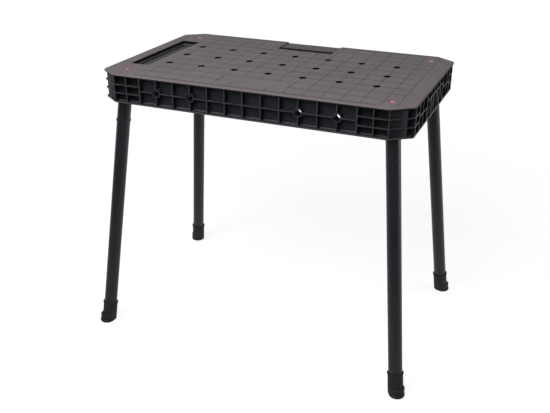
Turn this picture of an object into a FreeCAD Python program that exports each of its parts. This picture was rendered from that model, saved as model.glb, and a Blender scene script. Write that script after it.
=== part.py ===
import FreeCAD, Part
import math
import os

# Portable workbench: moulded deck and apron on four plug-in splayed legs
# Millimetres, origin on the floor under the middle of the deck, X along the long side, rear at +Y

V = FreeCAD.Vector

# Whole bench
bench_length = 880.0
bench_width = 540.0
bench_height = 792.0
apron_depth = 80.0
deck_thickness = 6.0
deck_overhang = 1.5
chamfer_along_length = 54.0
chamfer_along_width = 40.0
outline_corner_radius = 10.0

# Grid of dog holes
hole_pitch = 101.6
dog_hole_diameter = 19.0
dog_hole_columns = 7
dog_hole_rows = 3
dog_hole_lead_in = 0.8
collar_wall = 4.0
collar_depth = 14.0
deck_edge_round = 3.0

# Scored lines on the deck
score_width = 1.8
score_cross_width = 1.3
score_depth = 0.8
score_from_tray = 15.0
score_from_end = 44.0
score_from_side = 19.0
score_corner_length = 51.0
score_corner_width = 91.0
plain_panel_length = 196.0
plain_panel_width = 50.0
plain_panel_from_front = 85.0
plain_panel_corner = 14.0

# Tool tray
tray_end_clearance = 8.8
tray_width = 58.0
tray_depth = 16.0
tray_ledge_depth = 11.0
tray_ledge = 3.0
tray_wall = 3.0
tray_flange = 7.0
tray_end_flange = 14.0
tray_screw_from_middle = 14.5
tray_from_end = 66.0
tray_corner_radius = 4.0

# Hand slot and the grip behind it
grip_length = 176.0
grip_depth = 57.5
grip_slot_width = 40.0
grip_below_deck = 3.0
grip_plate = 9.0
grip_end_clearance = 0.5
grip_skirt = 22.0
grip_skirt_wall = 5.0
grip_round = 2.5

# Rails
rail_cells = 12
recess = 17.0
web = 4.0
rib = 3.0
end_wall = 2.0
bottom_flange = 4.0
inner_flange_width = 24.0
inner_flange = 4.0
tab_thickness = 4.0
through_tube_diameter = 25.0
through_tube_bore = 19.0
through_tube_inset = 1.5
through_tube_length = 31.0
side_high_rib_drop = 20.0
tab_screw_spread = 17.0

# Cross beams
beam_width = 14.0
beam_height = 42.0
beam_pitch_share = 1.75
lug_length = 14.0
lug_width = 16.0

# Corner blocks
corner_block_length = 133.7
corner_block_width = 90.7
corner_top_plate = 6.0
corner_rows = 3
chamfer_recess = 7.0
chamfer_wall = 4.0
corner_side_rib_from_chamfer = 10.0
corner_screw_in_length = 116.5
corner_screw_mid_length = 89.5
corner_screw_out_length = 33.5
corner_screw_in_width = 72.5
corner_screw_near_width = 78.5
corner_screw_out_width = 34.5
boss_wall = 4.7
gusset = 3.0

# Legs
leg_from_end = 62.0
leg_from_side = 58.0
leg_splay = 85.5
tube_diameter = 38.0
tube_wall = 1.8
socket_clearance = 0.3
socket_stop = 33.0
tube_floor_gap = 12.0
core_flange = 2.5
core_length = 125.0
spigot_diameter = 12.0
spigot_top_drop = 11.0
rivet_below_deck = 144.0
rivet_shank = 6.0
rivet_head_diameter = 9.0
rivet_head_height = 1.7
rivet_head_round = 1.2

# Feet
foot_height = 66.0
foot_wall = 2.2
foot_lip = 1.6
foot_lip_height = 5.0
sole_diameter = 44.0
sole_outward = 5.0
sole_height = 9.0
toe_height = 15.0
toe_outward = 4.0
groove_height = 2.0
groove_depth = 2.0
sole_round = 3.0

# Lock in each corner: button, jam plate, pin and return leaf
button_size = 19.6
button_clearance = 0.4
button_corner_radius = 2.0
button_below_deck = 0.4
button_cap_depth = 8.3
button_skin = 3.3
button_bore = 14.8
button_flange = 2.4
button_flange_gap = 0.3
button_flange_inner = 18.0
button_flange_outer = 14.0
button_flange_half = 14.0
button_travel = 4.0
prong_from_axis = 15.0
prong_width = 3.0
prong_span = 12.0
prong_inner = 5.0
prong_gap = 0.4
cavity_inner = 20.0
cavity_outer = 27.0
cavity_half = 16.0
cavity_floor_drop = 26.0
housing_wall = 4.0
ledge_hole_diameter = 20.0
plate_thickness = 4.0
plate_top_drop = 14.0
plate_inner = 18.0
plate_half = 14.0
plate_clearance = 0.9
pin_from_axis = 21.0
pin_diameter = 4.0
pin_seat = 3.0
pin_clearance = 0.05
knuckle_wall = 2.0
leaf_thickness = 0.7
leaf_half = 6.0
leaf_inner = 19.0
leaf_reach = 9.0
leaf_gap = 0.3

# Screws
screw_shank = 4.0
screw_head_diameter = 8.0
screw_head = 2.5
screw_bite = 4.5
screw_tail = 2.5

# Cutting tools run past what they cut
overrun = 5.0

# Levels and places that follow
deck_top = bench_height
deck_under = deck_top - deck_thickness
apron_bottom = bench_height - apron_depth
apron_mid = (deck_under + apron_bottom + bottom_flange) / 2
half_length = bench_length / 2 - deck_overhang
half_width = bench_width / 2 - deck_overhang
web_back = recess + web
chamfer_length = math.hypot(chamfer_along_length, chamfer_along_width)
chamfer_cell_recess = recess * chamfer_along_width / chamfer_length
grip_top = deck_top - grip_below_deck
grip_under = grip_top - grip_plate
half_pitch = hole_pitch / 2
rail_half_length = half_length - corner_block_length
side_rail_half_length = half_width - corner_block_width
rail_cell = 2 * rail_half_length / rail_cells
beam_from_middle = beam_pitch_share * hole_pitch
tray_centre_from_middle = bench_length / 2 - tray_from_end
tray_length = 2 * (side_rail_half_length - tray_end_flange - tray_wall - tray_end_clearance)
leg_top_x = half_length - leg_from_end
leg_top_y = half_width - leg_from_side
leg_tilt = math.atan2(leg_splay * math.sqrt(2), bench_height)
leg_axis = V(leg_splay, leg_splay, -bench_height).normalize()
leg_origin = V(leg_top_x, leg_top_y, deck_top)
outward = V(1, 1, 0).normalize()
sideways = V(1, -1, 0).normalize()
up = V(0, 0, 1)
square_to_leg = (outward * math.cos(leg_tilt)) + (up * math.sin(leg_tilt))
tube_radius = tube_diameter / 2
beam_y_end = half_width - web_back
corner_signs = {"fl": (-1, -1), "fr": (1, -1), "rl": (-1, 1), "rr": (1, 1)}
side_rib_shares = (0.095, 0.286, 0.543, 0.8)
through_tube_cell_shares = (-5, -3, 3, 5)
front_screw_cell_shares = (-5, -2.5, 0, 2.5, 5)
rear_screw_cell_shares = (-5, -2.5, 2.5, 5)
beam_screw_pitch_shares = (-1.5, 0, 1.5)
corner_rib_share = 0.51
chamfer_panel_share = 0.7
top_screw_places = (
    (half_length - corner_screw_in_length, half_width - corner_screw_in_width),
    (half_length - corner_screw_in_length, half_width - corner_screw_out_width),
    (half_length - corner_screw_out_length, half_width - corner_screw_near_width),
    (half_length - corner_screw_mid_length, half_width - corner_screw_out_width),
)


# Small helpers
def box(x0, x1, y0, y1, z0, z1):
    return Part.makeBox(x1 - x0, y1 - y0, z1 - z0, V(x0, y0, z0))


def rod(start, direction, diameter, length):
    return Part.makeCylinder(diameter / 2, length, start, direction)


def prism(points, z0, z1):
    corners = [V(x, y, z0) for x, y in points]
    wire = Part.makePolygon(corners + corners[:1])
    return Part.Face(wire).extrude(V(0, 0, z1 - z0))


def fused(shapes):
    whole = shapes[0]
    if len(shapes) > 1:
        whole = whole.multiFuse(shapes[1:])
    return whole.removeSplitter()


def upright_edges(solid, least_height):
    found = []
    for edge in solid.Edges:
        ends = [vertex.Point for vertex in edge.Vertexes]
        if len(ends) == 2:
            run = ends[1] - ends[0]
            if abs(run.z) > least_height and math.hypot(run.x, run.y) < least_height / 100:
                found.append(edge)
    return found


def edges_at_level(solid, level, slack):
    return [e for e in solid.Edges if abs(e.BoundBox.ZMin - level) < slack and abs(e.BoundBox.ZMax - level) < slack]


def rounded_box(x0, x1, y0, y1, z0, z1, radius):
    solid = box(x0, x1, y0, y1, z0, z1)
    return solid.makeFillet(radius, upright_edges(solid, (z1 - z0) / 2))


def outline(z0, z1, overhang=0):
    a, b = half_length + overhang, half_width + overhang
    c, d = chamfer_along_length, chamfer_along_width
    quarter = [(a, b - d), (a - c, b)]
    points = quarter + [(-x, y) for x, y in quarter[::-1]]
    points += [(-x, -y) for x, y in quarter] + [(x, -y) for x, y in quarter[::-1]]
    solid = prism(points, z0, z1)
    return solid.makeFillet(outline_corner_radius, upright_edges(solid, (z1 - z0) / 2))


def leg_point(along):
    return leg_origin + leg_axis * along


def leg_rod(start, end, diameter):
    return rod(leg_point(start), leg_axis, diameter, end - start)


def leg_distance(level):
    return (deck_top - level) / math.cos(leg_tilt)


def axis_at(level):
    return leg_point(leg_distance(level))


# A box in the frame of the leg's diagonal: outward from the leg, sideways, and up
def diagonal_box(out0, out1, half, z0, z1, side0=None):
    low = -half if side0 is None else side0
    corner = V(leg_top_x, leg_top_y, z0) + outward * out0 + sideways * low
    solid = Part.makeBox(out1 - out0, half - low, z1 - z0)
    # The box's own X turns to outward and its own Y to minus sideways
    solid.translate(V(0, -(half - low), 0))
    solid.rotate(V(0, 0, 0), V(0, 0, 1), 45)
    solid.translate(corner)
    return solid


def grid_places():
    half_columns = (dog_hole_columns - 1) / 2
    half_rows = (dog_hole_rows - 1) / 2
    for column in range(dog_hole_columns):
        for row in range(dog_hole_rows):
            yield (column - half_columns) * hole_pitch, (row - half_rows) * hole_pitch


def corner_places(places):
    return [(sx * x, sy * y) for sx, sy in corner_signs.values() for x, y in places]


def placed(solid, name):
    sx, sy = corner_signs[name]
    if sx < 0:
        solid = solid.mirror(V(0, 0, 0), V(1, 0, 0))
    if sy < 0:
        solid = solid.mirror(V(0, 0, 0), V(0, 1, 0))
    return solid


# Places of the upright screws that hold things to the deck
def corner_screw_places():
    return corner_places(top_screw_places)


def rail_screw_places():
    y = half_width - web_back - inner_flange_width / 2
    front = [(share * rail_cell, -y) for share in front_screw_cell_shares]
    rear = [(share * rail_cell, y) for share in rear_screw_cell_shares]
    return front + rear


def beam_screw_places():
    x = beam_from_middle - beam_width / 2 - lug_length / 2
    return [(sx * x, share * hole_pitch) for sx in (-1, 1) for share in beam_screw_pitch_shares]


def tray_screw_places():
    x = tray_screw_from_middle
    y = tray_length / 2 + tray_wall + tray_end_flange / 2
    return [(-tray_centre_from_middle + sx * x, sy * y) for sx in (-1, 1) for sy in (-1, 1)]


def deck_screw_seats():
    seats = [(x, y, deck_under - corner_top_plate) for x, y in corner_screw_places()]
    flat_places = rail_screw_places() + beam_screw_places()
    seats += [(x, y, deck_under - inner_flange) for x, y in flat_places]
    seats += [(x, y, deck_under - tray_wall) for x, y in tray_screw_places()]
    return seats


# Deck
def scored_lines():
    z0 = deck_top - score_depth
    z1 = deck_top + overrun
    w = score_width / 2
    wc = score_cross_width / 2
    score_left = tray_centre_from_middle - tray_width / 2 - score_from_tray
    score_right = bench_length / 2 - score_from_end
    score_half_width = bench_width / 2 - score_from_side
    lines = []
    first = -math.floor(score_left / half_pitch)
    last = math.floor(score_right / half_pitch)
    x_places = [k * half_pitch for k in range(first, last + 1)] + [score_right]
    for x in x_places:
        lines.append(box(x - wc, x + wc, -score_half_width - w, score_half_width + w, z0, z1))
    rows = math.floor(score_half_width / half_pitch)
    y_places = [k * half_pitch for k in range(-rows, rows + 1)] + [-score_half_width, score_half_width]
    for y in y_places:
        end = score_right - (score_corner_length if abs(y) > score_half_width - score_corner_width else 0)
        lines.append(box(-min(score_left, end), end, y - w, y + w, z0, z1))
    return fused(lines)


def plain_panel(margin, z0, z1):
    a = plain_panel_length / 2 + margin
    y = plain_panel_from_front - bench_width / 2
    y0 = y - plain_panel_width / 2 - margin
    y1 = y + plain_panel_width / 2 + margin
    c = plain_panel_corner
    points = [(-a, y0), (a, y0), (a, y1 - c), (a - c, y1), (c - a, y1), (-a, y1 - c)]
    return prism(points, z0, z1)


def tray_opening(grow, z0, z1):
    x = -tray_centre_from_middle
    w = tray_width / 2 + grow
    h = tray_length / 2 + grow
    return rounded_box(x - w, x + w, -h, h, z0, z1, tray_corner_radius + max(grow, 0))


def deck():
    solid = outline(deck_under, deck_top, deck_overhang)
    solid = solid.makeFillet(deck_edge_round, edges_at_level(solid, deck_top, deck_thickness / 4))
    collars = []
    holes = []
    for x, y in grid_places():
        base = V(x, y, deck_under - collar_depth)
        collars.append(rod(base, up, dog_hole_diameter + 2 * collar_wall, collar_depth + deck_thickness / 2))
        holes.append(rod(base - up * overrun, up, dog_hole_diameter, bench_height))
        top_radius = dog_hole_diameter / 2 + dog_hole_lead_in
        holes.append(Part.makeCone(dog_hole_diameter / 2, top_radius, dog_hole_lead_in,
                                   V(x, y, deck_top - dog_hole_lead_in), up))
    solid = fused([solid] + collars)
    slot_front = half_width - grip_depth - grip_slot_width
    cuts = holes
    cuts.append(tray_opening(0, deck_under - overrun, deck_top + overrun))
    cuts.append(rounded_box(-grip_length / 2, grip_length / 2, slot_front, half_width + outline_corner_radius,
                            deck_under - overrun, deck_top + overrun, grip_round))
    hole = button_size / 2 + button_clearance
    for x, y in corner_places([(leg_top_x, leg_top_y)]):
        cuts.append(rounded_box(x - hole, x + hole, y - hole, y + hole, deck_under - overrun,
                                deck_top + overrun, button_corner_radius))
    for x, y, seat in deck_screw_seats():
        cuts.append(rod(V(x, y, deck_under - overrun), up, screw_shank, overrun + screw_bite))
    solid = solid.cut(cuts)
    score = scored_lines().cut(plain_panel(0, deck_under, deck_top + 2 * overrun))
    ring = plain_panel(0, deck_top - score_depth, deck_top + overrun)
    ring = ring.cut(plain_panel(-score_width, deck_under, deck_top + 2 * overrun))
    solid = solid.cut(score)
    return solid.cut(ring)


def tool_tray():
    top = deck_under
    floor = deck_top - tray_depth
    solid = tray_opening(tray_wall, floor - tray_wall, top)
    x = -tray_centre_from_middle
    w = tray_width / 2 + tray_wall + tray_flange
    h = tray_length / 2 + tray_wall + tray_end_flange
    flange = rounded_box(x - w, x + w, -h, h, top - tray_wall, top, tray_corner_radius + tray_wall)
    solid = fused([solid, flange])
    cuts = [tray_opening(0, deck_top - tray_ledge_depth, top + overrun),
            tray_opening(-tray_ledge, floor, top + overrun)]
    for sx, sy in tray_screw_places():
        cuts.append(rod(V(sx, sy, floor - overrun), up, screw_shank, tray_depth + 2 * overrun))
    return solid.cut(cuts)


# Rails, built along X with their outer face at -Y, then turned to their side
def pocket(x0, x1, edge, z0, z1):
    return box(x0, x1, -edge - overrun, -edge + recess, z0, z1)


def rail_base(half, edge):
    bar = box(-half, half, -edge, -edge + web_back, apron_bottom, deck_under)
    tabs = []
    for sx in (-1, 1):
        ends = sorted((sx * half, sx * (half - tab_thickness)))
        y0 = -edge + web_back
        tabs.append(box(ends[0], ends[1], y0 - web / 2, y0 + inner_flange_width,
                        apron_bottom + bottom_flange, deck_under - inner_flange))
    return bar, tabs


def tab_screw_places():
    y = -web_back - inner_flange_width / 2
    levels = (apron_mid - tab_screw_spread, apron_mid + tab_screw_spread)
    return [(y, level) for level in levels]


def tab_holes(half, edge):
    holes = []
    for inset, level in tab_screw_places():
        y = -edge - inset
        for sx in (-1, 1):
            start = V(sx * (half + overrun), y, level)
            holes.append(rod(start, V(-sx, 0, 0), screw_shank, tab_thickness + 2 * overrun))
    return holes


def long_rail(with_grip):
    half, edge = rail_half_length, half_width
    bar, tabs = rail_base(half, edge)
    places = [(k - rail_cells / 2) * rail_cell for k in range(rail_cells + 1)]
    roof = deck_under
    grip_cells = math.ceil(grip_length / 2 / rail_cell) * rail_cell + rib / 2
    cuts = []
    for left, right in zip(places[:-1], places[1:]):
        x0 = left + (end_wall if left == places[0] else rib / 2)
        x1 = right - (end_wall if right == places[-1] else rib / 2)
        inside_grip = with_grip and max(abs(left), abs(right)) < grip_cells
        top = grip_under if inside_grip else roof
        cuts.append(pocket(x0, x1, edge, apron_mid + rib / 2, top))
        cuts.append(pocket(x0, x1, edge, apron_bottom + bottom_flange, apron_mid - rib / 2))
    solid = bar.cut(cuts)
    tubes, bores = [], []
    for share in through_tube_cell_shares:
        start = V(share * rail_cell, -edge + through_tube_inset, apron_mid)
        tubes.append(rod(start, V(0, 1, 0), through_tube_diameter, through_tube_length))
        bores.append(rod(start - V(0, bench_width / 2, 0), V(0, 1, 0), through_tube_bore, bench_width))
    flange = box(-half, half, -edge + web_back - web / 2, -edge + web_back + inner_flange_width,
                 roof - inner_flange, roof)
    added = tubes + tabs + [flange]
    if with_grip:
        a = grip_length / 2
        b = a - grip_end_clearance
        solid = solid.cut(box(-a, a, -edge - overrun, -edge + grip_depth, grip_under, roof + overrun))
        plate = box(-a, a, -edge, -edge + grip_depth, grip_under, roof)
        raised = box(-b, b, -edge, -edge + grip_depth, grip_under, grip_top)
        raised = raised.makeFillet(grip_round, [e for e in edges_at_level(raised, grip_top, grip_plate / 4)
                                                if e.Length > grip_depth * 2])
        skirt = box(-a, a, -edge + grip_depth - grip_skirt_wall, -edge + grip_depth, roof - grip_skirt,
                    grip_under)
        flange = flange.cut(box(-a, a, -edge, 0, apron_bottom, roof))
        added = tubes + tabs + [flange, plate, raised, skirt]
    solid = fused([solid] + added)
    for x, y in rail_screw_places():
        if (y > 0) == with_grip:
            bores.append(rod(V(x, -abs(y), roof - inner_flange - overrun), up, screw_shank,
                             inner_flange + 2 * overrun))
    solid = solid.cut(bores + tab_holes(half, edge))
    if with_grip:
        solid = solid.rotated(V(0, 0, 0), up, 180)
    return solid


def slanted_rib(x0, z0, x1, z1, edge):
    run = V(x1 - x0, 0, z1 - z0)
    across = V(-run.z, 0, run.x).normalize() * (rib / 2)
    points = [V(x0, 0, z0) + across, V(x1, 0, z1) + across, V(x1, 0, z1) - across, V(x0, 0, z0) - across]
    points = [p + V(0, -edge, 0) for p in points]
    face = Part.Face(Part.makePolygon(points + points[:1]))
    return face.extrude(V(0, recess + web / 2, 0))


def side_rail(sign):
    half, edge = side_rail_half_length, half_length
    bar, tabs = rail_base(half, edge)
    steps = [share * half for share in side_rib_shares]
    places = [-half] + [-s for s in steps[::-1]] + steps + [half]
    floor = apron_bottom + bottom_flange
    high = deck_under - side_high_rib_drop
    cuts, slants = [], []
    for left, right in zip(places[:-1], places[1:]):
        x0 = left + (end_wall if left == places[0] else rib / 2)
        x1 = right - (end_wall if right == places[-1] else rib / 2)
        middle = (left + right) / 2
        central = abs(middle) < half / 2
        level = high if central else apron_mid
        cuts.append(pocket(x0, x1, edge, level + rib / 2, deck_under))
        cuts.append(pocket(x0, x1, edge, floor, level - rib / 2))
        if central and abs(middle) > rib:
            inner, outer = (left, right) if middle > 0 else (right, left)
            slants.append(slanted_rib(inner, high, outer, floor, edge))
    solid = fused([bar.cut(cuts)] + slants + tabs).cut(tab_holes(half, edge))
    return solid.rotated(V(0, 0, 0), up, 90 * sign)


def cross_beam(sign):
    x0 = sign * beam_from_middle - beam_width / 2
    x1 = sign * beam_from_middle + beam_width / 2
    clear = beam_y_end - inner_flange_width
    z0 = deck_under - beam_height
    parts = [box(x0, x1, -beam_y_end, beam_y_end, z0, deck_under - inner_flange),
             box(x0, x1, -clear, clear, z0, deck_under)]
    holes = []
    for x, y in beam_screw_places():
        if x * sign > 0:
            inner = x - sign * lug_length / 2
            outer = x + sign * lug_length / 2
            parts.append(box(min(inner, outer), max(inner, outer), y - lug_width / 2, y + lug_width / 2,
                             deck_under - inner_flange, deck_under))
            holes.append(rod(V(x, y, deck_under - inner_flange - overrun), up, screw_shank,
                             inner_flange + 2 * overrun))
    return fused(parts).cut(holes)


# Corner block, built for the rear right corner and mirrored to the others
def corner_cell_rows():
    floor = apron_bottom + bottom_flange
    row = (deck_under - floor) / corner_rows
    for k in range(corner_rows):
        low = floor + (k * row + rib / 2 if k else 0)
        high = floor + (k + 1) * row - (rib / 2 if k < corner_rows - 1 else 0)
        yield low, high


# Panel on the chamfer: sunk beside the long face, flush where the deep cell starts
def chamfer_panel(z0, z1):
    first = V(half_length - chamfer_along_length, half_width, z0)
    inward = chamfer_inward()
    last = first + chamfer_run() * chamfer_panel_share
    points = [first - inward * overrun, last - inward * overrun, last, first + inward * chamfer_recess]
    return prism([(p.x, p.y) for p in points], z0, z1)


# Deep cell that runs from the chamfer round its end to the short face
def chamfer_cell(y_near, z0, z1):
    first = V(half_length - chamfer_along_length, half_width, z0)
    inward = chamfer_inward()
    start = first + chamfer_run() * chamfer_panel_share
    outer, inner = start - inward * overrun, start + inward * chamfer_cell_recess
    y_vertex = half_width - chamfer_along_width
    x_out, x_in = half_length + 2 * overrun, half_length - recess
    return prism([(outer.x, outer.y), (x_out, y_vertex), (x_out, y_near), (x_in, y_near), (x_in, y_vertex),
                  (inner.x, inner.y)], z0, z1)


def chamfer_run():
    return V(chamfer_along_length, -chamfer_along_width, 0)


def chamfer_inward():
    return V(-chamfer_along_width, -chamfer_along_length, 0).normalize()


def corner_pockets():
    cuts = []
    x_start = rail_half_length + end_wall
    x_vertex = half_length - chamfer_along_length
    x_rib = x_start + (x_vertex - x_start) * corner_rib_share
    y_start = side_rail_half_length + end_wall
    y_rib = half_width - chamfer_along_width - corner_side_rib_from_chamfer
    for z0, z1 in corner_cell_rows():
        for x0, x1 in ((x_start, x_rib - rib / 2), (x_rib + rib / 2, x_vertex - rib / 2)):
            cuts.append(box(x0, x1, half_width - recess, half_width + overrun, z0, z1))
        cuts.append(box(half_length - recess, half_length + overrun, y_start, y_rib - rib / 2, z0, z1))
        past_rib = box(x_vertex + rib / 2, bench_length, 0, bench_width, z0, z1)
        cuts.append(chamfer_panel(z0, z1).common(past_rib))
        cuts.append(chamfer_cell(y_rib + rib / 2, z0, z1))
    return cuts


def corner_inside(z0, z1):
    x0 = rail_half_length + web
    y0 = side_rail_half_length + web
    x1 = half_length - web_back
    y1 = half_width - web_back
    long_run, short_run = chamfer_along_length, chamfer_along_width
    back = (chamfer_cell_recess + chamfer_wall) * chamfer_length
    cx = long_run - web_back + (back - web_back * long_run) / short_run
    cy = short_run - web_back + (back - web_back * short_run) / long_run
    return prism([(x0, y0), (x1, y0), (x1, y1 - cy), (x1 - cx, y1), (x0, y1)], z0, z1)


def corner_block():
    region = box(rail_half_length, half_length + overrun, side_rail_half_length, half_width + overrun,
                 apron_bottom, deck_under)
    solid = outline(apron_bottom, deck_under).common(region)
    ceiling = deck_under - corner_top_plate
    solid = solid.cut(corner_pockets())
    solid = solid.cut(corner_inside(apron_bottom - overrun, ceiling))
    bore = tube_diameter + 2 * socket_clearance
    boss = leg_rod(0, leg_distance(apron_bottom) + overrun, bore + 2 * boss_wall)
    boss = boss.common(corner_inside(apron_bottom, ceiling))
    housing = diagonal_box(-cavity_inner - housing_wall, cavity_outer + housing_wall,
                           cavity_half + housing_wall, deck_top - cavity_floor_drop - housing_wall, deck_under)
    gussets = corner_inside(apron_bottom + bottom_flange, ceiling)
    cross = fused([box(rail_half_length, half_length, leg_top_y - gusset / 2, leg_top_y + gusset / 2,
                       apron_bottom, ceiling),
                   box(leg_top_x - gusset / 2, leg_top_x + gusset / 2, side_rail_half_length, half_width,
                       apron_bottom, ceiling)])
    solid = fused([solid, boss, housing, gussets.common(cross)])
    cuts = [leg_rod(socket_stop, leg_distance(apron_bottom) + 2 * overrun, bore),
            leg_rod(0, socket_stop + overrun, ledge_hole_diameter).common(
                box(0, bench_length, 0, bench_width, apron_bottom, deck_top - cavity_floor_drop + overrun)),
            diagonal_box(-cavity_inner, cavity_outer, cavity_half, deck_top - cavity_floor_drop,
                         deck_under + overrun)]
    half = cavity_half + pin_seat
    cuts.append(rod(pin_centre() - sideways * half, sideways, pin_diameter, 2 * half))
    for x, y in top_screw_places:
        cuts.append(rod(V(x, y, ceiling - overrun), up, screw_shank, corner_top_plate + 2 * overrun))
    for inset, level in tab_screw_places():
        start = V(rail_half_length - overrun, half_width + inset, level)
        cuts.append(rod(start, V(1, 0, 0), screw_shank, web + 2 * overrun))
        start = V(half_length + inset, side_rail_half_length - overrun, level)
        cuts.append(rod(start, V(0, 1, 0), screw_shank, web + 2 * overrun))
    return solid.cut(cuts)


# Lock
def plate_level():
    return deck_top - plate_top_drop - plate_thickness / 2


def pin_centre():
    return V(leg_top_x, leg_top_y, plate_level()) + outward * pin_from_axis


def release_button():
    top = deck_top - button_below_deck
    h = button_size / 2
    x, y = leg_top_x, leg_top_y
    cap = rounded_box(x - h, x + h, y - h, y + h, top - button_cap_depth, top, button_corner_radius)
    cap = cap.makeFillet(button_corner_radius / 2, edges_at_level(cap, top, button_skin / 4))
    flange_top = deck_under - button_flange_gap
    flange = diagonal_box(-button_flange_inner, button_flange_outer, button_flange_half,
                          flange_top - button_flange, flange_top)
    foot = deck_top - plate_top_drop + prong_gap
    inner = -prong_from_axis - prong_width / 2
    prongs = [diagonal_box(inner, inner + prong_width, side1, foot, flange_top, side0)
              for side0, side1 in ((-prong_span, -prong_inner), (prong_inner, prong_span))]
    centre = V(x, y, foot - overrun) + outward * leg_tip_shift()
    bore = rod(centre, up, button_bore, top - button_skin - foot + overrun)
    return fused([cap, flange] + prongs).cut(bore)


# How far outward the leg's axis lies at the spigot's tip
def leg_tip_shift():
    return spigot_top_drop * math.tan(leg_tilt)


def jam_plate():
    level = plate_level()
    half = plate_thickness / 2
    flat = diagonal_box(-plate_inner, pin_from_axis, plate_half, level - half, level + half)
    knuckle = rod(pin_centre() - sideways * plate_half, sideways, pin_diameter + 2 * knuckle_wall,
                  2 * plate_half)
    centre = axis_at(level)
    hole = rod(V(centre.x, centre.y, level - plate_thickness), up, spigot_diameter + 2 * plate_clearance,
               2 * plate_thickness)
    pin_hole = rod(pin_centre() - sideways * cavity_half, sideways, pin_diameter + 2 * pin_clearance,
                   2 * cavity_half)
    return fused([flat, knuckle]).cut([hole, pin_hole])


def plate_pin():
    half = cavity_half + pin_seat
    return rod(pin_centre() - sideways * half, sideways, pin_diameter, 2 * half)


# A strip bent to a C that stands between the cavity's floor and the plate
def return_leaf():
    floor = deck_top - cavity_floor_drop + leaf_gap
    roof = plate_level() - plate_thickness / 2 - leaf_gap
    outer_radius = (roof - floor) / 2
    inner_radius = outer_radius - leaf_thickness
    middle = (roof + floor) / 2
    turn = -leaf_inner + outer_radius
    end = turn + leaf_reach - outer_radius
    wire = Part.Wire([
        Part.LineSegment(V(end, 0, floor), V(turn, 0, floor)).toShape(),
        Part.Arc(V(turn, 0, floor), V(turn - outer_radius, 0, middle), V(turn, 0, roof)).toShape(),
        Part.LineSegment(V(turn, 0, roof), V(end, 0, roof)).toShape(),
        Part.LineSegment(V(end, 0, roof), V(end, 0, roof - leaf_thickness)).toShape(),
        Part.LineSegment(V(end, 0, roof - leaf_thickness), V(turn, 0, roof - leaf_thickness)).toShape(),
        Part.Arc(V(turn, 0, roof - leaf_thickness), V(turn - inner_radius, 0, middle),
                 V(turn, 0, floor + leaf_thickness)).toShape(),
        Part.LineSegment(V(turn, 0, floor + leaf_thickness), V(end, 0, floor + leaf_thickness)).toShape(),
        Part.LineSegment(V(end, 0, floor + leaf_thickness), V(end, 0, floor)).toShape(),
    ])
    solid = Part.Face(wire).extrude(V(0, 2 * leaf_half, 0))
    solid.translate(V(0, -leaf_half, 0))
    solid.rotate(V(0, 0, 0), up, 45)
    solid.translate(V(leg_top_x, leg_top_y, 0))
    return solid


# Leg
def tube_top():
    return socket_stop + socket_clearance + core_flange


def leg_tube():
    end = leg_distance(tube_floor_gap)
    inner = tube_diameter - 2 * tube_wall
    solid = leg_rod(tube_top(), end, tube_diameter).cut(leg_rod(0, end + overrun, inner))
    return solid.cut(rivet_hole())


def rivet_centre():
    return axis_at(deck_top - rivet_below_deck)


def rivet_hole():
    return rod(rivet_centre() - square_to_leg * tube_diameter, square_to_leg, rivet_shank, 2 * tube_diameter)


def leg_core():
    top = socket_stop + socket_clearance
    tip = spigot_top_drop / math.cos(leg_tilt)
    body = leg_rod(top, tube_top() + core_length, tube_diameter - 2 * tube_wall)
    flange = leg_rod(top, tube_top(), tube_diameter)
    spigot = leg_rod(tip, top + core_flange, spigot_diameter)
    solid = fused([body, flange, spigot])
    return solid.cut(rivet_hole())


def leg_rivet():
    centre = rivet_centre()
    reach = tube_radius - tube_wall
    shank = rod(centre - square_to_leg * reach, square_to_leg, rivet_shank, 2 * reach)
    wrap = leg_rod(leg_distance(deck_top - rivet_below_deck) - tube_diameter,
                   leg_distance(deck_top - rivet_below_deck) + tube_diameter, tube_diameter)
    through = rod(centre - square_to_leg * tube_radius, square_to_leg, rivet_shank, tube_diameter)
    heads = []
    for side in (-1, 1):
        head = rod(centre + square_to_leg * (side * reach), square_to_leg * side, rivet_head_diameter,
                   tube_wall + rivet_head_height)
        tip = centre + square_to_leg * (side * (tube_radius + rivet_head_height))
        rim = [e for e in head.Edges if (e.CenterOfMass - tip).Length < rivet_head_height / 4]
        head = head.makeFillet(rivet_head_round, rim)
        heads.append(head.cut(wrap))
    return fused([shank, through] + heads)


def rubber_foot():
    top = leg_distance(foot_height)
    floor = leg_distance(0) + tube_radius
    sleeve_diameter = tube_diameter + 2 * foot_wall
    lip_diameter = sleeve_diameter + 2 * foot_lip
    sleeve = leg_rod(top, floor, sleeve_diameter)
    lip = leg_rod(top, top + foot_lip_height, lip_diameter)
    rims = [e for e in lip.Edges if len(e.Vertexes) == 1 and e.Length > tube_diameter]
    lip = lip.makeFillet(foot_lip_height * 0.45, rims)
    ground = axis_at(0)
    sole = rod(ground + outward * sole_outward, up, sole_diameter, sole_height)
    sole = sole.makeFillet(sole_round, [e for e in sole.Edges if len(e.Vertexes) == 1 and e.Length > tube_diameter])
    neck_level = sole_height + groove_height
    neck = rod(axis_at(0) + outward * sole_outward, up, sole_diameter - 2 * groove_depth, neck_level)
    toe_centre = axis_at(neck_level)
    toe = rod(V(toe_centre.x, toe_centre.y, neck_level) + outward * toe_outward, up, sole_diameter, toe_height)
    toe = toe.makeFillet(sole_round, [e for e in toe.Edges if len(e.Vertexes) == 1 and e.Length > tube_diameter])
    solid = fused([sleeve.common(box(0, bench_length, 0, bench_width, sole_height / 2, bench_height)),
                   lip, sole, neck, toe])
    return solid.cut(leg_rod(0, leg_distance(tube_floor_gap), tube_diameter))


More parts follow.
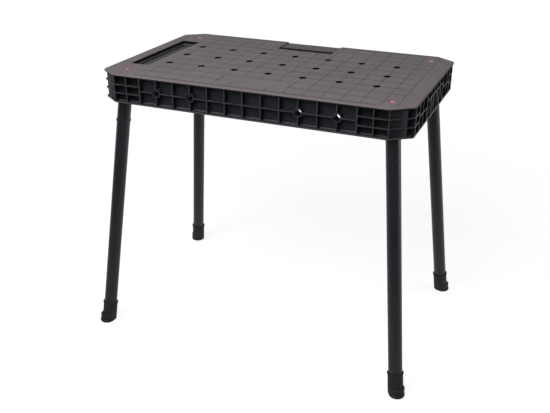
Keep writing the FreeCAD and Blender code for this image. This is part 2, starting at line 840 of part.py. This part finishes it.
# Screws
def upright_screw(x, y, seat):
    head = rod(V(x, y, seat - screw_head), up, screw_head_diameter, screw_head)
    rim = [e for e in edges_at_level(head, seat - screw_head, screw_head / 4) if len(e.Vertexes) == 1]
    head = head.makeFillet(screw_head / 3, rim)
    shank = rod(V(x, y, seat - screw_head / 2), up, screw_shank, deck_under + screw_bite - seat + screw_head / 2)
    return fused([head, shank])


def deck_screws():
    return Part.makeCompound([upright_screw(x, y, seat) for x, y, seat in deck_screw_seats()])


def sideways_screw(start, direction):
    head = rod(start - direction * screw_head, direction, screw_head_diameter, screw_head)
    shank = rod(start - direction * (screw_head / 2), direction, screw_shank,
                screw_head / 2 + tab_thickness + web + screw_tail)
    return fused([head, shank])


def rail_screws():
    screws = []
    for sx, sy in corner_signs.values():
        for inset, level in tab_screw_places():
            long_start = V(sx * (rail_half_length - tab_thickness), sy * (half_width + inset), level)
            screws.append(sideways_screw(long_start, V(sx, 0, 0)))
            short_start = V(sx * (half_length + inset), sy * (side_rail_half_length - tab_thickness), level)
            screws.append(sideways_screw(short_start, V(0, sy, 0)))
    return Part.makeCompound(screws)


def save(name, shape):
    shape.exportStep("parts/" + name + ".step")
    print(name, "solids", len(shape.Solids), "volume", round(shape.Volume), "valid", shape.isValid())


def main():
    os.makedirs("parts", exist_ok=True)
    save("deck", deck())
    save("tool_tray", tool_tray())
    save("front_rail", long_rail(False))
    save("rear_rail", long_rail(True))
    save("left_rail", side_rail(-1))
    save("right_rail", side_rail(1))
    save("cross_beam_left", cross_beam(-1))
    save("cross_beam_right", cross_beam(1))
    save("deck_screws", deck_screws())
    save("rail_screws", rail_screws())
    corner_parts = {
        "corner_block": corner_block(),
        "release_button": release_button(),
        "jam_plate": jam_plate(),
        "plate_pin": plate_pin(),
        "return_leaf": return_leaf(),
        "leg_tube": leg_tube(),
        "leg_core": leg_core(),
        "leg_rivet": leg_rivet(),
        "rubber_foot": rubber_foot(),
    }
    for kind, solid in corner_parts.items():
        for corner in corner_signs:
            save(kind + "_" + corner, placed(solid, corner))


main()
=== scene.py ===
import math

import bmesh
import bpy
from mathutils import Matrix, Vector


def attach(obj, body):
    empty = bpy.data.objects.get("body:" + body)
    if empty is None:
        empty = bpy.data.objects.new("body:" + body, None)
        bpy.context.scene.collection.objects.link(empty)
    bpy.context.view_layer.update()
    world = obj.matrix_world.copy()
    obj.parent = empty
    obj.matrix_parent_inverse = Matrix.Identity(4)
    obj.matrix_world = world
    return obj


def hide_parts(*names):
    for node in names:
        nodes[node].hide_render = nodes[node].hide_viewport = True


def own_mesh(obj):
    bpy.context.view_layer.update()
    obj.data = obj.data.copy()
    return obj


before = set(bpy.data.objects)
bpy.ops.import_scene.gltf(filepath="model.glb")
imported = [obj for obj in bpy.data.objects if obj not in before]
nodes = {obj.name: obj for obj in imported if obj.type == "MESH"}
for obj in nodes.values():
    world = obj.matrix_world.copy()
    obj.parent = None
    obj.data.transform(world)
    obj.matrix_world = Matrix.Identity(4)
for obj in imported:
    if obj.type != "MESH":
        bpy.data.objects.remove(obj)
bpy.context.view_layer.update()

# Corner names, as the frame gives them: front or rear, left or right
CORNERS = ("fl", "fr", "rl", "rr")

# Places where a finish changes, in metres. x runs along the bench and y across it, both from its
# middle, and a level is a height above the floor. Half sizes are along x and y.
DECK_HALF_SIZES = (0.440, 0.270)
FRAME_HALF_SIZES = (0.4385, 0.2685)
CORNER_CUT = (0.054, 0.040)

HOLE_PITCH = 0.1016
HOLE_RADIUS_WITH_LEAD_IN = 0.0104
HOLE_FIELD_HALF_SIZES = (0.3305, 0.1305)

LINE_PITCH = HOLE_PITCH / 2
LINE_HALF_WIDTH = 0.00105
# Half width of the painted shade band along each lengthwise line
LINE_AND_SHADE_HALF_WIDTH = 0.0018
BORDER_LINE_Y = 0.251
LINES_LEFT_X = -0.330
LINES_RIGHT_X = 0.396
CORNER_LINES_RIGHT_X = 0.345
CORNER_LINES_Y = 0.160

PANEL_HALF_LENGTH = 0.098
PANEL_FRONT_Y = -0.2115
PANEL_BACK_Y = -0.1615

NOTCH_HALF_LENGTH = 0.09275
NOTCH_FRONT_Y = 0.16525
GRIP_HALF_LENGTH = 0.088
GRIP_FRONT_Y = 0.1655
SLOT_BACK_Y = 0.21525

CORNER_BLOCK_X = 0.305
SIDE_FACE_X = 0.4375

HOLE_LEVEL = 0.79194
SCORE_LEVEL = 0.79145
CUT_OUT_LEVEL = 0.79025
DECK_SIDE_LEVEL = 0.7890
GRIP_LEVEL = 0.7872
TRAY_RIM_LEVEL = 0.7814
TRAY_LEDGE_LEVEL = 0.7802
TRAY_WALL_LEVEL = 0.7766
FLANGE_LEVEL = 0.71655

# How far in from the outline the deck's plain border, the painted shade on the deck's side, the
# painted shade in the frame's cells and the painted highlight on its rims reach
DECK_BORDER = 0.014
DECK_SIDE = 0.0013
CELL_DEPTH = 0.011
RIM_DEPTH = 0.00145

# A button's middle, and how far from it the painted highlight in the middle ends, the painted
# shade on the rim begins and the painted shade towards the rear begins
BUTTON_X = 0.3765
BUTTON_Y = 0.2105
BUTTON_HIGHLIGHT = 0.0046
BUTTON_RIM = 0.0070
BUTTON_SHADE = 0.0025

# The part of a noise's range that a finish uses
NOISE_LOW = 0.3
NOISE_HIGH = 0.7

EDGE_SAMPLES = 6


# Finishes
def finish(name, colour, roughness, specular=0.5, metallic=0.0):
    material = bpy.data.materials.new(name)
    material.use_nodes = True
    shader = material.node_tree.nodes["Principled BSDF"]
    shader.inputs["Base Color"].default_value = (*colour, 1)
    shader.inputs["Roughness"].default_value = roughness
    shader.inputs["Metallic"].default_value = metallic
    shader.inputs["Specular IOR Level"].default_value = specular
    return material, shader


def add_node(material, kind, **inputs):
    node = material.node_tree.nodes.new(kind)
    for name, value in inputs.items():
        node.inputs[name].default_value = value
    return node


def link(material, start, end):
    material.node_tree.links.new(start, end)


def object_place(material, scale=(1, 1, 1)):
    place = add_node(material, "ShaderNodeTexCoord")
    mapping = add_node(material, "ShaderNodeMapping", Scale=scale)
    link(material, place.outputs["Object"], mapping.inputs["Vector"])
    return mapping.outputs["Vector"]


# A place's x, y and z
def parted(material, place):
    split = add_node(material, "ShaderNodeSeparateXYZ")
    link(material, place, split.inputs["Vector"])
    return tuple(split.outputs)


def grain(material, place, scale, detail, rough):
    noise = add_node(material, "ShaderNodeTexNoise", Scale=scale, Detail=detail, Roughness=rough)
    link(material, place, noise.inputs["Vector"])
    return noise.outputs["Fac"]


def reckon(material, operation, *values):
    node = add_node(material, "ShaderNodeMath")
    node.operation = operation
    for slot, value in zip(node.inputs, values):
        if isinstance(value, (int, float)):
            slot.default_value = value
        else:
            link(material, value, slot)
    return node.outputs["Value"]


def size_of(material, value):
    return reckon(material, "ABSOLUTE", value)


def minus(material, first, second):
    return reckon(material, "SUBTRACT", first, second)


def times(material, first, *others):
    product = first
    for other in others:
        product = reckon(material, "MULTIPLY", product, other)
    return product


def larger(material, first, second):
    return reckon(material, "MAXIMUM", first, second)


def blended(material, share, low, high):
    node = add_node(material, "ShaderNodeMix")
    node.data_type = "RGBA"
    link(material, share, node.inputs["Factor"])
    for slot, value in ((node.inputs["A"], low), (node.inputs["B"], high)):
        if isinstance(value, tuple):
            slot.default_value = (*value, 1)
        else:
            link(material, value, slot)
    return node.outputs["Result"]


def spread(material, value, low, high, start=NOISE_LOW, end=NOISE_HIGH):
    node = add_node(material, "ShaderNodeMapRange",
                    **{"From Min": start, "From Max": end, "To Min": low, "To Max": high})
    link(material, value, node.inputs["Value"])
    return node.outputs["Result"]


# From one value to another where a place passes an edge: soft is half the width of the step
def step(material, value, edge, before, after, soft=0.0005):
    return spread(material, value, before, after, edge - soft, edge + soft)


def short_of(material, value, edge, soft=0.0005):
    return step(material, value, edge, 1, 0, soft)


def past(material, value, edge, soft=0.0005):
    return step(material, value, edge, 0, 1, soft)


def tint(material, value, dark, light):
    ramp = add_node(material, "ShaderNodeValToRGB")
    dark_end, light_end = ramp.color_ramp.elements
    dark_end.position = NOISE_LOW
    dark_end.color = (*dark, 1)
    light_end.position = NOISE_HIGH
    light_end.color = (*light, 1)
    link(material, value, ramp.inputs["Fac"])
    return ramp.outputs["Color"]


def relief(material, height, depth, strength, below=None):
    bump = add_node(material, "ShaderNodeBump", Strength=strength, Distance=depth)
    link(material, height, bump.inputs["Height"])
    if below is not None:
        link(material, below, bump.inputs["Normal"])
    return bump.outputs["Normal"]


def softened_edges(material, radius):
    edge = add_node(material, "ShaderNodeBevel", Radius=radius)
    edge.samples = EDGE_SAMPLES
    return edge.outputs["Normal"]


def moulded_plastic(name, dark, light, roughness, specular, grain_depth, edge_radius,
                    grain_scale=1400):
    speck_darkness = 0.86
    material, shader = finish(name, light, roughness, specular)
    place = object_place(material)
    cloud = grain(material, place, scale=9, detail=3, rough=0.6)
    broad = tint(material, cloud, dark, light)
    speck = grain(material, place, scale=260, detail=3, rough=0.75)
    speck_colour = tuple(value * speck_darkness for value in dark)
    speck_share = spread(material, speck, low=0.45, high=0, start=0.34, end=0.62)
    base = blended(material, speck_share, broad, speck_colour)
    link(material, base, shader.inputs["Base Color"])
    wear = grain(material, place, scale=55, detail=4, rough=0.7)
    dull = spread(material, wear, low=roughness - 0.05, high=roughness + 0.06)
    link(material, dull, shader.inputs["Roughness"])
    spark = grain(material, place, grain_scale, detail=1.5, rough=0.6)
    skin = relief(material, spark, grain_depth, strength=0.8,
                  below=softened_edges(material, edge_radius))
    link(material, skin, shader.inputs["Normal"])
    return material, shader, base


# How far a point lies outside the outline, seen from above: below zero inside it
def outline_distance(material, x, y, half_sizes):
    half_length, half_width = half_sizes
    cut_along, cut_across = CORNER_CUT
    cut = math.hypot(cut_along, cut_across)
    reach = ((half_length - cut_along) * cut_across + half_width * cut_along) / cut
    from_middle_x = size_of(material, x)
    from_middle_y = size_of(material, y)
    slanted = reckon(material, "ADD", times(material, from_middle_x, cut_across / cut),
                     times(material, from_middle_y, cut_along / cut))
    past_sides = larger(material, minus(material, from_middle_x, half_length),
                        minus(material, from_middle_y, half_width))
    return larger(material, past_sides, minus(material, slanted, reach))


# How far a point lies from the nearest lengthwise line: one more runs beside each long edge
def distance_to_line(material, y):
    from_middle = size_of(material, y)
    to_row = reckon(material, "PINGPONG", from_middle, LINE_PITCH / 2)
    to_border = size_of(material, minus(material, from_middle, BORDER_LINE_Y))
    return reckon(material, "MINIMUM", to_row, to_border)


# One where the lengthwise lines run: they stop short at the corners, and the panel has none
def in_field(material, x, y):
    right_end = step(material, size_of(material, y), CORNER_LINES_Y,
                     LINES_RIGHT_X, CORNER_LINES_RIGHT_X)
    field = times(material, reckon(material, "LESS_THAN", x, right_end),
                  reckon(material, "GREATER_THAN", x, LINES_LEFT_X))
    panel = times(material, short_of(material, size_of(material, x), PANEL_HALF_LENGTH),
                  short_of(material, y, PANEL_BACK_Y), past(material, y, PANEL_FRONT_Y))
    return times(material, field, minus(material, 1, panel))


# One inside a dog hole and its lead-in
def in_hole(material, x, y, level):
    from_middle_x = size_of(material, x)
    from_middle_y = size_of(material, y)
    along = reckon(material, "PINGPONG", from_middle_x, HOLE_PITCH / 2)
    across = reckon(material, "PINGPONG", from_middle_y, HOLE_PITCH / 2)
    squares = reckon(material, "ADD", times(material, along, along),
                     times(material, across, across))
    radius = reckon(material, "SQRT", squares)
    field_x, field_y = HOLE_FIELD_HALF_SIZES
    return times(material, short_of(material, radius, HOLE_RADIUS_WITH_LEAD_IN, soft=0.0001),
                 short_of(material, level, HOLE_LEVEL, soft=0.00004),
                 short_of(material, from_middle_x, field_x),
                 short_of(material, from_middle_y, field_y))


# One in the notch over the hand slot
def in_notch(material, x, y):
    return times(material,
                 short_of(material, size_of(material, x), NOTCH_HALF_LENGTH, soft=0.00025),
                 past(material, y, NOTCH_FRONT_Y, soft=0.00025))


# Painted shade darkens the scored lines, a band beside each lengthwise line, the holes, the
# cut-outs' walls and the deck's sides against its top face
def deck_plastic():
    line_groove_shade = (0.016, 0.014, 0.015)
    line_shade_band = (0.060, 0.052, 0.056)
    cross_groove_shade = (0.134, 0.117, 0.124)
    cut_shade = (0.001, 0.001, 0.001)
    side_shade = (0.018, 0.017, 0.019)
    shade_band_share = 0.6
    cut_dullness = 0.4
    material, shader, base = moulded_plastic(
        "deck grey moulding", (0.165, 0.143, 0.153), (0.194, 0.169, 0.181), roughness=0.58,
        specular=0.15, grain_depth=0.00022, edge_radius=0.0006, grain_scale=1100)
    x, y, level = parted(material, object_place(material))
    outside = outline_distance(material, x, y, DECK_HALF_SIZES)
    inside = short_of(material, outside, -DECK_BORDER, soft=0.002)

    to_line = distance_to_line(material, y)
    # Painted shade in a band beside each lengthwise line, wider than its groove
    beside = times(material, short_of(material, to_line, LINE_AND_SHADE_HALF_WIDTH, soft=0.0004),
                   in_field(material, x, y), shade_band_share)
    top = blended(material, beside, base, line_shade_band)
    # Painted shade in the grooves: black in the lengthwise lines, grey in the cross lines
    on_line = short_of(material, to_line, LINE_HALF_WIDTH, soft=0.00015)
    score = blended(material, on_line, cross_groove_shade, line_groove_shade)
    scored = times(material, inside, short_of(material, level, SCORE_LEVEL, soft=0.00025))
    colour = blended(material, scored, top, score)
    # Painted shade: black inside the holes
    colour = blended(material, in_hole(material, x, y, level), colour, cut_shade)

    # Painted shade: black on the cut-outs' walls, but not in the notch
    cut_out = times(material, inside, short_of(material, level, CUT_OUT_LEVEL, soft=0.00075),
                    minus(material, 1, in_notch(material, x, y)))
    colour = blended(material, cut_out, colour, cut_shade)
    # Painted shade on the deck's sides
    side = times(material, past(material, outside, -DECK_SIDE, soft=0.0003),
                 short_of(material, level, DECK_SIDE_LEVEL, soft=0.0004))
    colour = blended(material, side, colour, side_shade)
    link(material, colour, shader.inputs["Base Color"])

    worn = shader.inputs["Roughness"].links[0].from_socket
    duller = reckon(material, "ADD", worn, times(material, cut_out, cut_dullness))
    link(material, duller, shader.inputs["Roughness"])
    return material


# From the tray's floor up: painted shade on the walls, a painted highlight on the ledge and
# painted shade that makes the rim nearly black
def tray_plastic():
    wall_shade = (0.020, 0.019, 0.021)
    ledge_highlight = (0.150, 0.140, 0.150)
    rim_shade = (0.006, 0.006, 0.0065)
    material, shader, colour = moulded_plastic(
        "tray dark moulding", (0.078, 0.072, 0.078), (0.098, 0.090, 0.098), roughness=0.55,
        specular=0.4, grain_depth=0.00018, edge_radius=0.0008, grain_scale=1100)
    _, _, level = parted(material, object_place(material))
    # Painted shade on the walls and rim, and a painted highlight on the ledge
    for height, tone in ((TRAY_WALL_LEVEL, wall_shade), (TRAY_LEDGE_LEVEL, ledge_highlight),
                         (TRAY_RIM_LEVEL, rim_shade)):
        colour = blended(material, past(material, level, height, soft=0.0002), colour, tone)
    link(material, colour, shader.inputs["Base Color"])
    return material


# Painted highlight where the ribs and flanges reach the outline, stronger on the sides, painted
# light on the flanges' top faces, painted shade in the cells and the hand slot, and deck grey on
# top of the grip
def frame_plastic():
    flange_front_highlight, rib_front_highlight = (0.060, 0.060, 0.070), (0.036, 0.036, 0.044)
    flange_side_highlight, rib_side_highlight = (0.230, 0.230, 0.250), (0.130, 0.130, 0.145)
    flange_top_light = (0.110, 0.110, 0.125)
    corner_web_shade, rail_web_shade = (0.0050, 0.0050, 0.0065), (0.0160, 0.0172, 0.0225)
    slot_shade = (0.0040, 0.0040, 0.0050)
    grip_grey = (0.090, 0.078, 0.084)
    material, shader, base = moulded_plastic(
        "frame black moulding", (0.0122, 0.0123, 0.0165), (0.0185, 0.0186, 0.0240),
        roughness=0.52, specular=0.28, grain_depth=0.0001, edge_radius=0.0007)
    x, y, level = parted(material, object_place(material))
    from_middle = size_of(material, x)
    outside = outline_distance(material, x, y, FRAME_HALF_SIZES)
    above_flange = past(material, level, FLANGE_LEVEL, soft=0.00025)

    # Painted highlight on the rims, paler on the left and right ends than along the front and rear
    front_highlight = blended(material, above_flange, flange_front_highlight, rib_front_highlight)
    side_highlight = blended(material, above_flange, flange_side_highlight, rib_side_highlight)
    rim_highlight = blended(material, past(material, from_middle, SIDE_FACE_X), front_highlight, side_highlight)
    on_rim = past(material, outside, -RIM_DEPTH, soft=0.00105)
    colour = blended(material, on_rim, base, rim_highlight)

    # Painted shade in the cells, deeper in the corner blocks than along the rails, and painted
    # light on the flanges' top faces
    on_rail = short_of(material, from_middle, CORNER_BLOCK_X)
    web_shade = blended(material, on_rail, corner_web_shade, rail_web_shade)
    cell_tone = blended(material, above_flange, flange_top_light, web_shade)
    in_cell = short_of(material, outside, -CELL_DEPTH, soft=0.005)
    colour = blended(material, in_cell, colour, cell_tone)

    in_grip = times(material, short_of(material, from_middle, GRIP_HALF_LENGTH, soft=0.0002),
                    past(material, y, GRIP_FRONT_Y))
    # Painted shade in the hand slot
    in_slot = times(material, in_grip, short_of(material, y, SLOT_BACK_Y, soft=0.00025))
    colour = blended(material, in_slot, colour, slot_shade)
    on_grip = times(material, in_grip, past(material, level, GRIP_LEVEL, soft=0.0004))
    colour = blended(material, on_grip, colour, grip_grey)
    link(material, colour, shader.inputs["Base Color"])
    return material


def core_plastic():
    material, _, _ = moulded_plastic(
        "plug black moulding", (0.016, 0.016, 0.017), (0.024, 0.024, 0.025), roughness=0.5,
        specular=0.4, grain_depth=0.00008, edge_radius=0.0005)
    return material


# A painted highlight pales the middle, and painted shade darkens the rim and the rear
def button_gloss():
    red_dark, red_light = (0.52, 0.018, 0.034), (0.63, 0.028, 0.046)
    highlight_pink = (0.74, 0.25, 0.31)
    shade_red = (0.17, 0.002, 0.009)
    material, shader = finish("button red gloss", (0.55, 0.02, 0.035), roughness=0.34)
    place = object_place(material)
    cloud = grain(material, place, scale=60, detail=2, rough=0.5)
    red = tint(material, cloud, red_dark, red_light)
    x, y, _ = parted(material, place)
    aside = size_of(material, minus(material, size_of(material, x), BUTTON_X))
    along = size_of(material, minus(material, size_of(material, y), BUTTON_Y))
    out = larger(material, aside, along)
    # Painted highlight in the middle
    in_middle = short_of(material, out, BUTTON_HIGHLIGHT, soft=0.0016)
    top = blended(material, in_middle, red, highlight_pink)
    # Painted shade on the rim and towards the rear
    on_rim = past(material, out, BUTTON_RIM, soft=0.001)
    front_or_rear = reckon(material, "SIGN", y)
    rearward = minus(material, y, times(material, front_or_rear, BUTTON_Y))
    shaded = past(material, rearward, BUTTON_SHADE, soft=0.0015)
    colour = blended(material, larger(material, on_rim, shaded), top, shade_red)
    link(material, colour, shader.inputs["Base Color"])
    wear = grain(material, place, scale=420, detail=4, rough=0.7)
    link(material, spread(material, wear, low=0.2, high=0.32), shader.inputs["Roughness"])
    skin = relief(material, wear, depth=0.00002, strength=0.5,
                  below=softened_edges(material, radius=0.0005))
    link(material, skin, shader.inputs["Normal"])
    return material


def leg_coating():
    coat_dark, coat_light = (0.0108, 0.0092, 0.0144), (0.0164, 0.0143, 0.0212)
    drawn_out_along_leg = (1, 1, 0.08)
    material, shader = finish("leg charcoal powder coat", (0.014, 0.0137, 0.0165), roughness=0.36)
    place = object_place(material)
    cloud = grain(material, place, scale=14, detail=3, rough=0.6)
    link(material, tint(material, cloud, coat_dark, coat_light), shader.inputs["Base Color"])
    scuff = grain(material, object_place(material, drawn_out_along_leg), scale=90, detail=4,
                  rough=0.7)
    link(material, spread(material, scuff, low=0.25, high=0.36), shader.inputs["Roughness"])
    peel = grain(material, place, scale=650, detail=2, rough=0.55)
    skin = relief(material, peel, depth=0.00010, strength=0.6)
    link(material, skin, shader.inputs["Normal"])
    return material


def foot_rubber():
    rubber_dark, rubber_light = (0.009, 0.009, 0.01), (0.019, 0.019, 0.02)
    material, shader = finish("foot black rubber", (0.014, 0.014, 0.015), roughness=0.62,
                              specular=0.4)
    place = object_place(material)
    cloud = grain(material, place, scale=40, detail=3, rough=0.6)
    link(material, tint(material, cloud, rubber_dark, rubber_light), shader.inputs["Base Color"])
    wear = grain(material, place, scale=160, detail=4, rough=0.7)
    link(material, spread(material, wear, low=0.52, high=0.72), shader.inputs["Roughness"])
    pores = grain(material, place, scale=900, detail=2, rough=0.6)
    skin = relief(material, pores, depth=0.0001, strength=0.7,
                  below=softened_edges(material, radius=0.0008))
    link(material, skin, shader.inputs["Normal"])
    return material


def worked_steel(name, dark, light, roughness, stretch=(1, 1, 1)):
    material, shader = finish(name, light, roughness, metallic=1.0)
    place = object_place(material, stretch)
    cloud = grain(material, place, scale=130, detail=4, rough=0.7)
    link(material, tint(material, cloud, dark, light), shader.inputs["Base Color"])
    lines = grain(material, place, scale=900, detail=3, rough=0.7)
    dull = spread(material, lines, low=roughness - 0.08, high=roughness + 0.1)
    link(material, dull, shader.inputs["Roughness"])
    skin = relief(material, lines, depth=0.00003, strength=0.5,
                  below=softened_edges(material, radius=0.0003))
    link(material, skin, shader.inputs["Normal"])
    return material


deck_finish = deck_plastic()
tray_finish = tray_plastic()
frame_finish = frame_plastic()
core_finish = core_plastic()
button_finish = button_gloss()
leg_finish = leg_coating()
rubber_finish = foot_rubber()
lock_finish = worked_steel("lock hardened steel", (0.3, 0.3, 0.31), (0.52, 0.52, 0.53),
                           roughness=0.34, stretch=(1, 1, 6))
screw_finish = worked_steel("screw zinc plate", (0.36, 0.36, 0.35), (0.6, 0.6, 0.59),
                            roughness=0.3)

# Pieces that the bench has once, and pieces that it has at each corner
single_finishes = {
    "deck": deck_finish,
    "tool_tray": tray_finish,
    "front_rail": frame_finish,
    "rear_rail": frame_finish,
    "left_rail": frame_finish,
    "right_rail": frame_finish,
    "cross_beam_left": frame_finish,
    "cross_beam_right": frame_finish,
    "deck_screws": screw_finish,
    "rail_screws": screw_finish,
}
corner_finishes = {
    "corner_block": frame_finish,
    "release_button": button_finish,
    "jam_plate": lock_finish,
    "plate_pin": lock_finish,
    "return_leaf": lock_finish,
    "leg_tube": leg_finish,
    "leg_core": core_finish,
    "leg_rivet": leg_finish,
    "rubber_foot": rubber_finish,
}


def dress(node, material):
    mesh = nodes[node].data
    mesh.materials.clear()
    mesh.materials.append(material)


for node, material in single_finishes.items():
    dress(node, material)
for kind, material in corner_finishes.items():
    for corner in CORNERS:
        dress(kind + "_" + corner, material)


def mesh_object(name, mesh):
    data = bpy.data.meshes.new(name)
    mesh.to_mesh(data)
    mesh.free()
    piece = bpy.data.objects.new(name, data)
    bpy.context.collection.objects.link(piece)
    return piece


# Each return leaf is replaced by a welded copy that the frame carries
def springing_leaf(corner):
    node = "return_leaf_" + corner
    mesh = bmesh.new()
    mesh.from_mesh(nodes[node].data)
    bmesh.ops.remove_doubles(mesh, verts=mesh.verts, dist=0.00001)
    leaf = mesh_object("springing_leaf_" + corner, mesh)
    leaf.data.materials.append(lock_finish)
    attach(leaf, "frame")
    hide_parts(node)
    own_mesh(leaf)


for corner in CORNERS:
    springing_leaf(corner)


# The camera sees the lit floor with the bench's shadow on it, under a glow that grows away from
# the bench. Gloss and clear pieces see paper that brightens towards the rear.
def pale_floor():
    mesh = bmesh.new()
    bmesh.ops.create_grid(mesh, x_segments=1, y_segments=1, size=30)
    floor = mesh_object("floor", mesh)
    material, shader = finish("floor white paper", (0.4, 0.4, 0.4), roughness=0.9, specular=0.0)
    place = object_place(material)
    _, y, _ = parted(material, place)
    mirrored = add_node(material, "ShaderNodeEmission")
    mirrored_strength = spread(material, y, low=0.16, high=0.8, start=-1.6, end=0.6)
    link(material, mirrored_strength, mirrored.inputs["Strength"])
    away = add_node(material, "ShaderNodeVectorMath")
    away.operation = "LENGTH"
    link(material, place, away.inputs[0])
    glow = add_node(material, "ShaderNodeEmission")
    glow_strength = spread(material, away.outputs["Value"], low=0.81, high=0.92, start=1.5,
                           end=3.2)
    link(material, glow_strength, glow.inputs["Strength"])
    lit = add_node(material, "ShaderNodeAddShader")
    link(material, shader.outputs["BSDF"], lit.inputs[0])
    link(material, glow.outputs["Emission"], lit.inputs[1])

    rays = add_node(material, "ShaderNodeLightPath")
    surface = shader.outputs["BSDF"]
    for ray, seen in (("Is Glossy Ray", mirrored.outputs["Emission"]),
                      ("Is Transmission Ray", mirrored.outputs["Emission"]),
                      ("Is Camera Ray", lit.outputs["Shader"])):
        both = add_node(material, "ShaderNodeMixShader")
        link(material, rays.outputs[ray], both.inputs["Fac"])
        link(material, surface, both.inputs[1])
        link(material, seen, both.inputs[2])
        surface = both.outputs["Shader"]
    output = material.node_tree.nodes["Material Output"]
    link(material, surface, output.inputs["Surface"])
    floor.data.materials.append(material)


# White to the camera, and a weaker light on the bench
def soft_world(strength):
    world = bpy.data.worlds.new("studio")
    bpy.context.scene.world = world
    world.use_nodes = True
    tree = world.node_tree
    lit = tree.nodes["Background"]
    white = tree.nodes.new("ShaderNodeBackground")
    for background, power in ((lit, strength), (white, 1)):
        background.inputs["Color"].default_value = (1, 1, 1, 1)
        background.inputs["Strength"].default_value = power
    rays = tree.nodes.new("ShaderNodeLightPath")
    mix = tree.nodes.new("ShaderNodeMixShader")
    tree.links.new(rays.outputs["Is Camera Ray"], mix.inputs["Fac"])
    tree.links.new(lit.outputs["Background"], mix.inputs[1])
    tree.links.new(white.outputs["Background"], mix.inputs[2])
    tree.links.new(mix.outputs["Shader"], tree.nodes["World Output"].inputs["Surface"])


def soft_box(name, place, target, size, power):
    lamp = bpy.data.lights.new(name, "AREA")
    lamp.shape = "RECTANGLE"
    lamp.size, lamp.size_y = size
    lamp.energy = power
    holder = bpy.data.objects.new(name, lamp)
    bpy.context.collection.objects.link(holder)
    holder.location = place
    aim = Vector(target) - Vector(place)
    holder.rotation_euler = aim.to_track_quat("-Z", "Y").to_euler()
    holder.visible_camera = False


# Azimuth, elevation and roll are in degrees, lens and sensor in millimetres
def photo_camera(place, azimuth, elevation, roll, focal_length, sensor_width):
    azimuth, elevation, roll = (math.radians(angle) for angle in (azimuth, elevation, roll))
    back = Vector((math.sin(azimuth) * math.cos(elevation),
                   -math.cos(azimuth) * math.cos(elevation),
                   math.sin(elevation)))
    right = (-back).cross(Vector((0, 0, 1))).normalized()
    above = right.cross(-back)
    rolled_right = right * math.cos(roll) + above * math.sin(roll)
    rolled_above = above * math.cos(roll) - right * math.sin(roll)
    lens = bpy.data.cameras.new("camera")
    lens.lens = focal_length
    lens.sensor_width = sensor_width
    lens.clip_start = 0.05
    holder = bpy.data.objects.new("camera", lens)
    bpy.context.collection.objects.link(holder)
    turn = Matrix((rolled_right, rolled_above, back)).transposed()
    holder.matrix_world = Matrix.Translation(place) @ turn.to_4x4()
    bpy.context.scene.camera = holder


# Floor, light and camera: lamps in watts
pale_floor()
soft_world(0.22)
soft_box("key", place=(-0.3, -1.5, 2.1), target=(0, 0, 0.7), size=(1.8, 1.4), power=41)
soft_box("right", place=(2.9, 0.9, 1.1), target=(0.3, 0, 0.6), size=(0.8, 2.2), power=13)
soft_box("left", place=(-2.9, 0.6, 1.1), target=(-0.3, 0, 0.6), size=(2.2, 2.2), power=7)
soft_box("back", place=(-0.9, 3.1, 1.9), target=(0, 0, 0.7), size=(3.2, 1.4), power=7)
photo_camera(place=(0.7991, -1.9423, 1.3410), azimuth=22.8904, elevation=25.2651, roll=0.1406,
             focal_length=49.484, sensor_width=36)
bpy.context.scene.view_settings.view_transform = "Standard"
